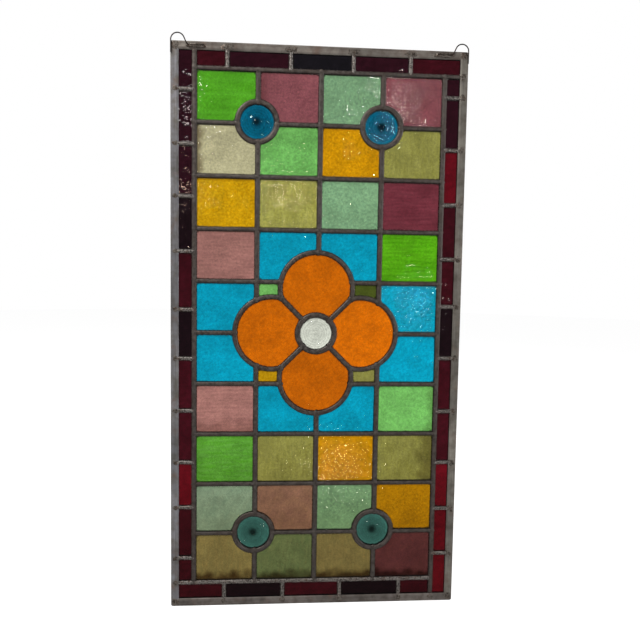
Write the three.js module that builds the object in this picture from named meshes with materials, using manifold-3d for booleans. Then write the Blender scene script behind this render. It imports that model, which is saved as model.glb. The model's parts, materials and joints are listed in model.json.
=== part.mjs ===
// Leaded stained glass panel, made to hang from two wire loops.
//
// Forty quarries in four columns and ten rows, a four-petal flower over the middle, a rondel at each
// corner of the field, and a border of narrow strips that turns round the field like a pinwheel.
//
// Units are millimetres. The panel is drawn flat, x to the right, y up and z towards the viewer, and
// the last group stands it up: +Z up, the front facing -Y, the origin where the loops bear on a hook.

import * as THREE from 'three';
import { mergeVertices } from 'three/addons/utils/BufferGeometryUtils.js';
import Module from 'manifold-3d';

const wasm = await Module();
wasm.setup();

// ---- driving dimensions -------------------------------------------------------------------------

const PANEL_WIDTH = 370;
const PANEL_HEIGHT = 714;
const COLUMNS = 4;
const ROWS = 10;
const COLUMN_PITCH = 78;
const ROW_PITCH = 65.2;

const GLASS_THICKNESS = 3;
const CLEARANCE = 0.3;              // between any two pieces that touch
const CHANNEL = GLASS_THICKNESS + 2 * CLEARANCE;
const HEART = 1.5;                  // the web between two panes
const FLANGE = 1.4;                 // a lead's leaf, from its channel to its crown

const UPRIGHT_LEAD = 6.2;           // face widths of the leads
const LEVEL_LEAD = 5;
const CROSS_LEAD = 4.4;
const PETAL_LEAD = 5.6;
const RONDEL_LEAD = 6.2;

const FRAME_FACE = 10;
const FRAME_DEPTH = 7.2;
const FRAME_WEB = 2;
const FRAME_LIP = 2.6;              // the sloped inner edge of the frame's face
const FRAME_LIP_DROP = 0.9;
const FRAME_CHAMFER = 0.6;

const PETAL_OFFSET = 57;            // from the flower's centre to each petal's centre
const PETAL_RADIUS = 46.3;          // to the middle of the lead round it
const FLOWER = { x: -2, y: 0 };
const CENTRE_RADIUS = 23.7;
const CORNER_RADIUS = 24.6;

const WIRE = 1.5;
const LOOP_RADIUS = 8.2;
const LOOP_RISE = 0.6;              // the loop's centre above the frame
const LOOP_LEAN = THREE.MathUtils.degToRad(25);
const OUTER_LEG = 15;
const INNER_LEG = 5;
const INNER_TAIL = 20;

const PETAL_SEGMENTS = 24;
const RONDEL_SEGMENTS = 16;
const LOOP_STEPS = 28;
const HALF_WIRE_SEGMENTS = 3;
const WELD_DISTANCE = 1e-4;

// Where the cross-leads part the border glass, along each side, as the strips were cut to hand.
const BORDER_CUTS = {
  top: [-116, -38, 40, 112],
  bottom: [-117, -41, 34, 113],
  left: [300, 234, 170, 102, 29, -33, -100, -167, -226, -293],
  right: [300, 235, 166, 97, 36, -31, -101, -169, -231, -292],
};

const PETALS = {
  right: 0,
  top: Math.PI / 2,
  left: Math.PI,
  bottom: -Math.PI / 2,
};

// How far each corner rondel sits from the crossing of the leads that it covers.
const CORNER_RONDELS = {
  upper_left: { column: 1, row: 1, shift: [-1, 2.2] },
  upper_right: { column: 3, row: 1, shift: [-1, 0] },
  lower_left: { column: 1, row: 9, shift: [-1.6, 0.4] },
  lower_right: { column: 3, row: 9, shift: [-1.6, 2.3] },
};

const columnX = (i) => (i - COLUMNS / 2) * COLUMN_PITCH;
const rowY = (j) => (ROWS / 2 - j) * ROW_PITCH;
const FIELD_RIGHT = columnX(COLUMNS);
const FIELD_TOP = rowY(0);
const INNER_RIGHT = PANEL_WIDTH / 2 - FRAME_FACE;
const INNER_TOP = PANEL_HEIGHT / 2 - FRAME_FACE;
const GLASS_RIGHT = PANEL_WIDTH / 2 - FRAME_WEB - CLEARANCE;
const GLASS_TOP = PANEL_HEIGHT / 2 - FRAME_WEB - CLEARANCE;

// ---- colours ------------------------------------------------------------------------------------

const SHEETS = {
  grass: 0x55aa28,
  mauve: 0x8c4b50,
  seafoam: 0x78a57d,
  straw: 0xbeb991,
  leaf: 0x6ebe64,
  amber: 0xd79600,
  olive: 0x91913f,
  golden: 0xd7a50a,
  plum: 0x6e2832,
  pink: 0xa06e69,
  turquoise: 0x00a5cd,
  lime: 0x46aa0a,
  moss: 0x505f1e,
  fern: 0x5fa032,
  celadon: 0x7d9678,
  umber: 0x7d5a50,
  khaki: 0x7d734b,
  lichen: 0x5f6e50,
  bistre: 0x552d2d,
  orange: 0xc86400,
  clear: 0xc8cdbe,
  teal: 0x006e91,
  ruby: 0x500a19,
};

// The sheet that each quarry is cut from, row by row from the top, left to right.
const QUARRY_SHEETS = [
  ['grass', 'mauve', 'seafoam', 'mauve'],
  ['straw', 'leaf', 'amber', 'olive'],
  ['golden', 'olive', 'seafoam', 'plum'],
  ['pink', 'turquoise', 'turquoise', 'lime'],
  ['turquoise', 'leaf', 'moss', 'turquoise'],
  ['turquoise', 'golden', 'olive', 'turquoise'],
  ['pink', 'turquoise', 'turquoise', 'leaf'],
  ['fern', 'olive', 'amber', 'olive'],
  ['celadon', 'umber', 'seafoam', 'amber'],
  ['khaki', 'lichen', 'khaki', 'bistre'],
];

function glassMaterial(sheet) {
  return new THREE.MeshStandardMaterial({
    color: SHEETS[sheet],
    roughness: 0.12,
    metalness: 0,
    transparent: true,
    opacity: 0.75,
  });
}

const leadMaterial = new THREE.MeshStandardMaterial({ color: 0x54504b, roughness: 0.55, metalness: 0.7 });
const frameMaterial = new THREE.MeshStandardMaterial({ color: 0x77746e, roughness: 0.5, metalness: 0.8 });
const wireMaterial = new THREE.MeshStandardMaterial({ color: 0x4b4140, roughness: 0.45, metalness: 0.9 });

// ---- solids -------------------------------------------------------------------------------------

function toSolid(geometry) {
  const bare = geometry.clone();
  bare.deleteAttribute('normal');
  bare.deleteAttribute('uv');
  const merged = mergeVertices(bare, WELD_DISTANCE);
  return new wasm.Manifold(new wasm.Mesh({
    numProp: 3,
    vertProperties: new Float32Array(merged.attributes.position.array),
    triVerts: new Uint32Array(merged.index.array),
  }));
}

function toGeometry(solid) {
  const { vertProperties, triVerts } = solid.getMesh();
  const geometry = new THREE.BufferGeometry();
  geometry.setAttribute('position', new THREE.BufferAttribute(new Float32Array(vertProperties), 3));
  geometry.setIndex(new THREE.BufferAttribute(new Uint32Array(triVerts), 1));
  const faceted = geometry.toNonIndexed();
  faceted.computeVertexNormals();
  return faceted;
}

const union = (solids) => solids.reduce((whole, solid) => whole.add(solid));

function block(left, right, bottom, top, thickness = GLASS_THICKNESS) {
  const box = new THREE.BoxGeometry(right - left, top - bottom, thickness);
  box.translate((left + right) / 2, (bottom + top) / 2, 0);
  return toSolid(box);
}

function disc(x, y, radius, segments, thickness) {
  const cylinder = new THREE.CylinderGeometry(radius, radius, thickness, segments);
  cylinder.rotateX(Math.PI / 2);
  cylinder.translate(x, y, 0);
  return toSolid(cylinder);
}

// ---- panes --------------------------------------------------------------------------------------

// Every pane is drawn three times: as its glass, as the pocket in the leads that takes the glass, and
// as the window that the leads' leaves leave open. Each is this far from the middle of the leads.
const everyLead = (inset) => ({ upright: inset, level: inset, cross: inset, petal: inset, rondel: inset });
const GLASS_EDGE = everyLead(HEART / 2 + CLEARANCE);
const POCKET_EDGE = everyLead(HEART / 2);
const WINDOW_EDGE = {
  upright: UPRIGHT_LEAD / 2,
  level: LEVEL_LEAD / 2,
  cross: CROSS_LEAD / 2,
  petal: PETAL_LEAD / 2,
  rondel: RONDEL_LEAD / 2,
};

function petalCentre(angle) {
  return [FLOWER.x + PETAL_OFFSET * Math.cos(angle), FLOWER.y + PETAL_OFFSET * Math.sin(angle)];
}

function cornerCentre({ column, row, shift }) {
  return [columnX(column) + shift[0], rowY(row) + shift[1]];
}

// What the round panes and their leads take out of the quarries.
function roundCuts(edge) {
  const cuts = [disc(FLOWER.x, FLOWER.y, CENTRE_RADIUS + edge.rondel, RONDEL_SEGMENTS, FRAME_DEPTH)];
  for (const angle of Object.values(PETALS)) {
    cuts.push(disc(...petalCentre(angle), PETAL_RADIUS + edge.petal, PETAL_SEGMENTS, FRAME_DEPTH));
  }
  for (const corner of Object.values(CORNER_RONDELS)) {
    cuts.push(disc(...cornerCentre(corner), CORNER_RADIUS + edge.rondel, RONDEL_SEGMENTS, FRAME_DEPTH));
  }
  return union(cuts);
}

function quarryPane(column, row, edge, thickness) {
  const whole = block(
    columnX(column) + edge.upright,
    columnX(column + 1) - edge.upright,
    rowY(row + 1) + edge.level,
    rowY(row) - edge.level,
    thickness,
  );
  return whole.subtract(roundCuts(edge));
}

// A petal is the part of a disc between two diagonals of the flower, outside the centre rondel.
function petalPane(angle, edge, thickness) {
  const whole = disc(...petalCentre(angle), PETAL_RADIUS - edge.petal, PETAL_SEGMENTS, thickness);
  const tip = edge.petal * Math.SQRT2;
  const reach = 2 * PETAL_OFFSET;
  const outline = new THREE.Shape([
    new THREE.Vector2(tip, 0),
    new THREE.Vector2(tip + reach, reach),
    new THREE.Vector2(tip + reach, -reach),
  ]);
  const quarter = new THREE.ExtrudeGeometry(outline, { depth: FRAME_DEPTH, bevelEnabled: false });
  quarter.translate(0, 0, -FRAME_DEPTH / 2);
  quarter.rotateZ(angle);
  quarter.translate(FLOWER.x, FLOWER.y, 0);
  const centre = disc(FLOWER.x, FLOWER.y, CENTRE_RADIUS + edge.rondel, RONDEL_SEGMENTS, FRAME_DEPTH);
  return whole.intersect(toSolid(quarter)).subtract(centre);
}

function centrePane(edge, thickness) {
  return disc(FLOWER.x, FLOWER.y, CENTRE_RADIUS - edge.rondel, RONDEL_SEGMENTS, thickness);
}

function cornerPane(corner, edge, thickness) {
  return disc(...cornerCentre(corner), CORNER_RADIUS - edge.rondel, RONDEL_SEGMENTS, thickness);
}

// One side of the border, from the lead that stops it at one end to `outX` or `outY` beyond the field.
function borderStrip(side, edge, outX, outY, thickness) {
  const { upright, level } = edge;
  const right = FIELD_RIGHT;
  const top = FIELD_TOP;
  const edges = {
    left: [-outX, -right - upright, -top + level, outY],
    top: [-right + upright, outX, top + level, outY],
    right: [right + upright, outX, -outY, top - level],
    bottom: [-outX, right - upright, -outY, -top - level],
  }[side];
  return block(...edges, thickness);
}

// ---- leads --------------------------------------------------------------------------------------

// Every window of the field and the border, or every pocket.
function fieldPanes(edge, thickness) {
  const panes = [centrePane(edge, thickness)];
  for (let row = 0; row < ROWS; row += 1) {
    for (let column = 0; column < COLUMNS; column += 1) {
      panes.push(quarryPane(column, row, edge, thickness));
    }
  }
  Object.values(PETALS).forEach((angle) => panes.push(petalPane(angle, edge, thickness)));
  Object.values(CORNER_RONDELS).forEach((corner) => panes.push(cornerPane(corner, edge, thickness)));
  return union(panes);
}

// The leads across the border, as bars that the border's windows are cut round.
function crossBars(side) {
  const half = WINDOW_EDGE.cross;
  return union(BORDER_CUTS[side].map((at) => (side === 'top' || side === 'bottom'
    ? block(at - half, at + half, -PANEL_HEIGHT, PANEL_HEIGHT, PANEL_WIDTH)
    : block(-PANEL_WIDTH, PANEL_WIDTH, at - half, at + half, PANEL_WIDTH))));
}

// All the leads, soldered into one net. The glass of each side of the border runs through under its
// cross-leads in one strip.
function leadLattice() {
  const depth = CHANNEL + 2 * FLANGE;
  const outX = INNER_RIGHT - CLEARANCE;
  const outY = INNER_TOP - CLEARANCE;
  const sides = Object.keys(BORDER_CUTS);
  const windows = sides.map((side) => {
    const strip = borderStrip(side, WINDOW_EDGE, PANEL_WIDTH, PANEL_HEIGHT, FRAME_DEPTH);
    return strip.subtract(crossBars(side));
  });
  const pockets = sides.map((side) => borderStrip(side, POCKET_EDGE, PANEL_WIDTH, PANEL_HEIGHT, CHANNEL));
  return block(-outX, outX, -outY, outY, depth)
    .subtract(fieldPanes(WINDOW_EDGE, FRAME_DEPTH))
    .subtract(fieldPanes(POCKET_EDGE, CHANNEL))
    .subtract(union(windows))
    .subtract(union(pockets));
}

// ---- frame --------------------------------------------------------------------------------------

// The frame's channel, from its outer face inwards and through its depth.
function frameSection() {
  const deep = FRAME_DEPTH / 2;
  const channel = CHANNEL / 2;
  const lip = FRAME_FACE - FRAME_LIP;
  const chamfer = FRAME_CHAMFER;
  return new THREE.Shape([
    [0, -deep + chamfer], [chamfer, -deep], [lip, -deep], [FRAME_FACE, -deep + FRAME_LIP_DROP],
    [FRAME_FACE, -channel], [FRAME_WEB, -channel], [FRAME_WEB, channel], [FRAME_FACE, channel],
    [FRAME_FACE, deep - FRAME_LIP_DROP], [lip, deep], [chamfer, deep], [0, deep - chamfer],
  ].map(([inwards, depth]) => new THREE.Vector2(inwards, depth)));
}

// One side of the frame, mitred at both ends, with the middle of its outer face at (x, y).
function frameSide(x, y, length) {
  const side = new THREE.ExtrudeGeometry(frameSection(), { depth: length, bevelEnabled: false });
  const position = side.attributes.position;
  for (let i = 0; i < position.count; i += 1) {
    const end = position.getZ(i) > 0 ? 1 : -1;
    position.setZ(i, end * (length / 2 - CLEARANCE / 2 - position.getX(i)));
  }
  const inwards = new THREE.Vector3(-Math.sign(x), -Math.sign(y), 0);
  const depth = new THREE.Vector3(0, 0, 1);
  const along = new THREE.Vector3().crossVectors(inwards, depth);
  side.applyMatrix4(new THREE.Matrix4().makeBasis(inwards, depth, along));
  side.translate(x, y, 0);
  return side;
}

// ---- hanging loops ------------------------------------------------------------------------------

const WIRE_FRONT = FRAME_DEPTH / 2 + CLEARANCE + WIRE / 2;
const LOOP_CENTRE_Y = PANEL_HEIGHT / 2 + LOOP_RISE;
const HANGING_HEIGHT = LOOP_CENTRE_Y + LOOP_RADIUS - WIRE / 2;

// The wire on the right-hand corner: up beside the frame's outer edge, over, and along its top.
function loopWire() {
  const outer = PANEL_WIDTH / 2 - WIRE / 2;
  const centre = outer - LOOP_RADIUS;
  const bend = [
    centre - LOOP_RADIUS * Math.cos(LOOP_LEAN),
    LOOP_CENTRE_Y + LOOP_RADIUS * Math.sin(LOOP_LEAN),
  ];
  const footY = PANEL_HEIGHT / 2 - INNER_LEG;
  const footX = bend[0] - (bend[1] - footY) * Math.tan(LOOP_LEAN);
  const route = new THREE.Path();
  route.moveTo(outer, PANEL_HEIGHT / 2 - OUTER_LEG);
  route.lineTo(outer, LOOP_CENTRE_Y);
  route.absarc(centre, LOOP_CENTRE_Y, LOOP_RADIUS, 0, Math.PI - LOOP_LEAN, false);
  route.lineTo(footX, footY);
  route.lineTo(footX - INNER_TAIL, footY);
  const points = route.getSpacedPoints(LOOP_STEPS).map((p) => new THREE.Vector3(p.x, p.y, WIRE_FRONT));
  const section = new THREE.Shape().absarc(0, 0, WIRE / 2, 0, 2 * Math.PI, false);
  return new THREE.ExtrudeGeometry(section, {
    curveSegments: HALF_WIRE_SEGMENTS,
    steps: LOOP_STEPS,
    extrudePath: new THREE.CatmullRomCurve3(points),
    bevelEnabled: false,
  });
}

// ---- the panel ----------------------------------------------------------------------------------

const panel = new THREE.Group();

function addPiece(name, geometry, material) {
  const mesh = new THREE.Mesh(geometry, material);
  mesh.name = name;
  panel.add(mesh);
  return mesh;
}

function addGlass(name, solid, sheet) {
  addPiece(name, toGeometry(solid), glassMaterial(sheet));
}

function addFrame() {
  const right = PANEL_WIDTH / 2;
  const top = PANEL_HEIGHT / 2;
  addPiece('frame_left', frameSide(-right, 0, PANEL_HEIGHT), frameMaterial);
  addPiece('frame_right', frameSide(right, 0, PANEL_HEIGHT), frameMaterial);
  addPiece('frame_top', frameSide(0, top, PANEL_WIDTH), frameMaterial);
  addPiece('frame_bottom', frameSide(0, -top, PANEL_WIDTH), frameMaterial);
}

function addLattice() {
  addPiece('lead_lattice', toGeometry(leadLattice()), leadMaterial);
}

function addLoops() {
  addPiece('hanging_loop_right', loopWire(), wireMaterial);
  const left = loopWire();
  left.rotateY(Math.PI);
  left.translate(0, 0, 2 * WIRE_FRONT);
  addPiece('hanging_loop_left', left, wireMaterial);
}

// The four quarries round the flower's centre keep only a small piece outside the petals.
function quarryName(row, column) {
  const small = { 5: 'upper', 6: 'lower' }[row];
  const side = { 2: 'left', 3: 'right' }[column];
  return small && side ? `small_pane_${small}_${side}` : `pane_row${row}_column${column}`;
}

function addQuarries() {
  QUARRY_SHEETS.forEach((sheets, row) => sheets.forEach((sheet, column) => {
    const pane = quarryPane(column, row, GLASS_EDGE, GLASS_THICKNESS);
    addGlass(quarryName(row + 1, column + 1), pane, sheet);
  }));
}

function addRoundPanes() {
  for (const [side, angle] of Object.entries(PETALS)) {
    addGlass(`petal_${side}`, petalPane(angle, GLASS_EDGE, GLASS_THICKNESS), 'orange');
  }
  addGlass('rondel_centre', centrePane(GLASS_EDGE, GLASS_THICKNESS), 'clear');
  for (const [place, corner] of Object.entries(CORNER_RONDELS)) {
    addGlass(`rondel_${place}`, cornerPane(corner, GLASS_EDGE, GLASS_THICKNESS), 'teal');
  }
}

function addBorder() {
  for (const side of Object.keys(BORDER_CUTS)) {
    const strip = borderStrip(side, GLASS_EDGE, GLASS_RIGHT, GLASS_TOP, GLASS_THICKNESS);
    addGlass(`border_glass_${side}`, strip, 'ruby');
  }
}

addFrame();
addLattice();
addLoops();
addQuarries();
addRoundPanes();
addBorder();

panel.rotation.x = Math.PI / 2;
panel.position.set(0, WIRE_FRONT, -HANGING_HEIGHT);

const standing = new THREE.Group();
standing.add(panel);

export default standing;
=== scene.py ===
"""Looks of a leaded stained glass panel: rolled and spun glass in soldered lead, hung by two loops.

Metres, in the row frame: X to the right, Z up, Y away from the viewer. The front of the panel faces
-Y, and the origin is where the two wire loops bear on their hook.
"""

import json
import math

import bpy
import numpy as np
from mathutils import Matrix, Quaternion, Vector
from mathutils.geometry import delaunay_2d_cdt


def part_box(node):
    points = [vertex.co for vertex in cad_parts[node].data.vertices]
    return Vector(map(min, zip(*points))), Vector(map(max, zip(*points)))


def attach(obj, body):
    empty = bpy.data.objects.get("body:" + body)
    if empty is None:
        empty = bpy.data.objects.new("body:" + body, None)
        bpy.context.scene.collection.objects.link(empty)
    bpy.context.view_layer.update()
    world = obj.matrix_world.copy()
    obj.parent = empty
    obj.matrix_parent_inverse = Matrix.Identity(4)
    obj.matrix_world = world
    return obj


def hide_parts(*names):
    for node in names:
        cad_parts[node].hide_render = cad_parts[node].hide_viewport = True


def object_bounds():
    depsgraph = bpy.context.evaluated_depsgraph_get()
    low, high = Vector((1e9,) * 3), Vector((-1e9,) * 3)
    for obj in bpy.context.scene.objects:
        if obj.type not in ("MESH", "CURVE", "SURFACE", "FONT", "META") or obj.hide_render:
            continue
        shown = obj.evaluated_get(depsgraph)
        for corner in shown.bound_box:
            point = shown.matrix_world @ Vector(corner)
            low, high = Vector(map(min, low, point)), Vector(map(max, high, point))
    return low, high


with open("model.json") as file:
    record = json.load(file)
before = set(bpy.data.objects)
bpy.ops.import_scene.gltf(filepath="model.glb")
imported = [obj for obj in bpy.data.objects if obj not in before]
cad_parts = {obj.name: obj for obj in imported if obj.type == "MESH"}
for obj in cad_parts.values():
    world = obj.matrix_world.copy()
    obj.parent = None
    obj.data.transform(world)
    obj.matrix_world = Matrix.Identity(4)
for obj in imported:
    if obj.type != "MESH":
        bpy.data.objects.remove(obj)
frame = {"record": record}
CAD_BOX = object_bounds()

MM = 0.001

# ---- places, read from the frame ------------------------------------------------------------------

ROWS, COLUMNS = 10, 4
SIDES = ("left", "top", "right", "bottom")
PETALS = ("right", "top", "left", "bottom")
CORNERS = ("upper_left", "upper_right", "lower_left", "lower_right")

SLOT_OF = {part["node"]: part["material_slot"] for part in frame["record"]["subparts"]}


def quarry_node(row, column):
    """The CAD node of a quarry, counted from 1. Four of them keep only a small piece."""
    if row in (5, 6) and column in (2, 3):
        height = {5: "upper", 6: "lower"}[row]
        side = {2: "left", 3: "right"}[column]
        return f"small_pane_{height}_{side}"
    return f"pane_row{row}_column{column}"


def middle(low, high):
    return (low + high) / 2


FRAME_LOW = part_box("frame_left")[0]
FRAME_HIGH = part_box("frame_right")[1]
LEAD_LOW, LEAD_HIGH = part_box("lead_lattice")
GLASS_LOW, GLASS_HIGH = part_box("pane_row1_column1")

MID_Y = middle(FRAME_LOW.y, FRAME_HIGH.y)
CENTRE = Vector((0, MID_Y, middle(FRAME_LOW.z, FRAME_HIGH.z)))
HALF_WIDTH = FRAME_HIGH.x
HALF_HEIGHT = (FRAME_HIGH.z - FRAME_LOW.z) / 2
HALF_FRAME_DEPTH = (FRAME_HIGH.y - FRAME_LOW.y) / 2
HALF_LEAD_DEPTH = (LEAD_HIGH.y - LEAD_LOW.y) / 2
HALF_GLASS = (GLASS_HIGH.y - GLASS_LOW.y) / 2
TOP_Z = FRAME_HIGH.z
BOTTOM_Z = FRAME_LOW.z

# Face widths and sections of the leads, as in the CAD model.
HEART = 1.5 * MM
CLEARANCE = 0.3 * MM
CHANNEL = HALF_GLASS + CLEARANCE
UPRIGHT_LEAD = 6.2 * MM
LEVEL_LEAD = 5 * MM
CROSS_LEAD = 4.4 * MM
PETAL_LEAD = 5.6 * MM
RONDEL_LEAD = 6.2 * MM
GLASS_INSET = HEART / 2 + CLEARANCE
FRAME_FACE = 10 * MM
FRAME_WEB = 2 * MM
FRAME_LIP = 2.6 * MM
FRAME_LIP_DROP = 0.9 * MM
INNER_X = HALF_WIDTH - FRAME_FACE
INNER_Z = HALF_HEIGHT - FRAME_FACE


def between(low_node, high_node, axis):
    """Where the lead between two neighbouring panes runs."""
    return middle(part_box(low_node)[1][axis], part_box(high_node)[0][axis])


COLUMN_X = [between("border_glass_left", quarry_node(1, 1), 0)]
COLUMN_X += [between(quarry_node(1, i), quarry_node(1, i + 1), 0) for i in range(1, COLUMNS)]
COLUMN_X += [between(quarry_node(1, COLUMNS), "border_glass_right", 0)]
ROW_Z = [between(quarry_node(1, 1), "border_glass_top", 2)]
ROW_Z += [between(quarry_node(j + 1, 1), quarry_node(j, 1), 2) for j in range(1, ROWS)]
ROW_Z += [between("border_glass_bottom", quarry_node(ROWS, 1), 2)]


def ring_round(node, lead_inset):
    """Centre and lead radius (x, z, r) of a round pane, from its box."""
    low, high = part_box(node)
    radius = (high.z - low.z) / 2
    return middle(low.x, high.x), middle(low.z, high.z), radius + lead_inset


def petal_ring(side):
    """Centre and lead radius of a petal: its box is cut off only towards the flower's centre."""
    low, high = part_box(f"petal_{side}")
    if side in ("left", "right"):
        radius = (high.z - low.z) / 2
        x = low.x + radius if side == "left" else high.x - radius
        return x, middle(low.z, high.z), radius + GLASS_INSET
    radius = (high.x - low.x) / 2
    z = high.z - radius if side == "top" else low.z + radius
    return middle(low.x, high.x), z, radius + GLASS_INSET


PETAL_RINGS = {side: petal_ring(side) for side in PETALS}
CENTRE_RING = ring_round("rondel_centre", GLASS_INSET)
CORNER_RINGS = {corner: ring_round(f"rondel_{corner}", GLASS_INSET) for corner in CORNERS}

# Where the cross-leads part the border, from the panel's middle, as the strips were cut to hand.
BORDER_CUTS = {
    "top": [-116, -38, 40, 112],
    "bottom": [-117, -41, 34, 113],
    "left": [300, 234, 170, 102, 29, -33, -100, -167, -226, -293],
    "right": [300, 235, 166, 97, 36, -31, -101, -169, -231, -292],
}
# How deep the ruby's flashing is on each piece, from the left or from the bottom.
BORDER_DEPTHS = {
    "top": "wine maroon soot maroon wine",
    "bottom": "wine night wine night wine",
    "left": "wine wine ruby wine wine night wine night maroon maroon maroon",
    "right": "ruby ruby ruby wine wine night wine wine ruby maroon maroon",
}

# ---- camera ---------------------------------------------------------------------------------------

EYE = CENTRE + Vector((-0.0646, -0.8647, 0.0864))
AIM = CENTRE + Vector((0.0031, 0, 0.0173))
ROLL = math.radians(0.92)
LENS = 38.25


def linked(name, data):
    """A new object in the scene."""
    made = bpy.data.objects.new(name, data)
    bpy.context.scene.collection.objects.link(made)
    return made


def add_camera():
    data = bpy.data.cameras.new("camera")
    data.lens = LENS
    camera = linked("camera", data)
    camera.location = EYE
    camera.rotation_mode = "QUATERNION"
    level = (AIM - EYE).to_track_quat("-Z", "Y")
    camera.rotation_quaternion = level @ Quaternion((0, 0, 1), ROLL)
    bpy.context.scene.camera = camera


add_camera()

# ---- small helpers --------------------------------------------------------------------------------


def linear(hex_colour):
    """The linear RGBA of a #rrggbb colour."""
    values = [int(hex_colour[i : i + 2], 16) / 255 for i in (1, 3, 5)]
    return [v / 12.92 if v <= 0.04045 else ((v + 0.055) / 1.055) ** 2.4 for v in values] + [1.0]


def ripple(x, z, cell_x, cell_z, seed, angle=0.0):
    """Smooth gradient noise of about -1 to 1, its cells turned by angle."""
    turned_x = x * math.cos(angle) + z * math.sin(angle)
    turned_z = z * math.cos(angle) - x * math.sin(angle)
    size = 128
    turns = np.random.default_rng(seed).uniform(0, 2 * math.pi, (size, size))
    u, v = turned_x / cell_x, turned_z / cell_z
    i, j = np.floor(u).astype(int), np.floor(v).astype(int)
    fu, fv = u - i, v - j

    def corner(di, dj):
        turn = turns[(i + di) % size, (j + dj) % size]
        return np.cos(turn) * (fu - di) + np.sin(turn) * (fv - dj)

    su, sv = fu * fu * (3 - 2 * fu), fv * fv * (3 - 2 * fv)
    low = corner(0, 0) * (1 - su) + corner(1, 0) * su
    high = corner(0, 1) * (1 - su) + corner(1, 1) * su
    return 1.6 * (low * (1 - sv) + high * sv)


def smooth_step(values, low, high):
    t = np.clip((values - low) / (high - low), 0, 1)
    return t * t * (3 - 2 * t)


def arc(cx, cz, radius, angles):
    return [(cx + radius * math.cos(a), cz + radius * math.sin(a)) for a in angles]


def full_turn(count):
    return np.linspace(0, 2 * math.pi, count, endpoint=False)


def flipped(faces):
    return [face[::-1] for face in faces]


def disc_faces(start, rings, turn):
    """A disc: its middle is vertex start, then come rings of turn vertices each."""
    faces = []
    for k in range(turn):
        n = (k + 1) % turn
        faces.append((start, start + 1 + k, start + 1 + n))
        for a in range(start + 1, start + 1 + (rings - 1) * turn, turn):
            faces.append((a + k, a + turn + k, a + turn + n, a + n))
    return faces


def rim_faces(top, low, turn):
    """The band between two rings of vertices."""
    return [(top + k, low + k, low + (k + 1) % turn, top + (k + 1) % turn) for k in range(turn)]


def tube_faces(size, count, closed=False):
    """A closed shell carried through count places, with size vertices at each."""
    faces = []
    for i in range(count if closed else count - 1):
        faces += rim_faces(((i + 1) % count) * size, i * size, size)
    if not closed:
        faces.append(tuple(range(size))[::-1])
        faces.append(tuple((count - 1) * size + k for k in range(size)))
    return faces


def new_mesh(name, vertices, faces, materials):
    mesh = bpy.data.meshes.new(name)
    mesh.from_pydata([tuple(v) for v in vertices], [], [tuple(f) for f in faces])
    for material in materials:
        mesh.materials.append(material)
    return mesh


def dress(piece, nodes, sharp_degrees):
    """Smooth faces between sharp edges, and the piece's place in the part."""
    piece.data.shade_smooth()
    piece.data.set_sharp_from_angle(angle=math.radians(sharp_degrees))
    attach(piece, "root")
    if nodes:
        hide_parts(*nodes)


def add_piece(name, vertices, faces, material, nodes=()):
    """A closed mesh that rides on the panel and stands for the CAD nodes it is named with."""
    piece = linked(name, new_mesh(name, vertices, faces, [material]))
    dress(piece, nodes, 40)
    return piece


def set_attribute(piece, name, values):
    attribute = piece.data.attributes.new(name, "FLOAT", "POINT")
    attribute.data.foreach_set("value", np.asarray(values, np.float32))


class Shells:
    """Closed shells gathered into one mesh, each with a material index."""

    def __init__(self):
        self.vertices = []
        self.faces = []
        self.kinds = []

    def add(self, vertices, faces, kind=0):
        start = len(self.vertices)
        self.vertices.extend(vertices)
        self.faces.extend([[start + i for i in face] for face in faces])
        self.kinds.extend([kind] * len(faces))


# ---- node helpers ---------------------------------------------------------------------------------


def new_node(tree, kind, output, sockets, **settings):
    """A new node's output. A socket is given a value, or another node's output to link to."""
    node = tree.nodes.new(f"ShaderNode{kind}")
    for name, value in settings.items():
        setattr(node, name, value)
    for socket, value in sockets.items():
        if isinstance(value, bpy.types.NodeSocket):
            tree.links.new(value, node.inputs[socket])
        else:
            node.inputs[socket].default_value = value
    return node.outputs[output]


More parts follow.
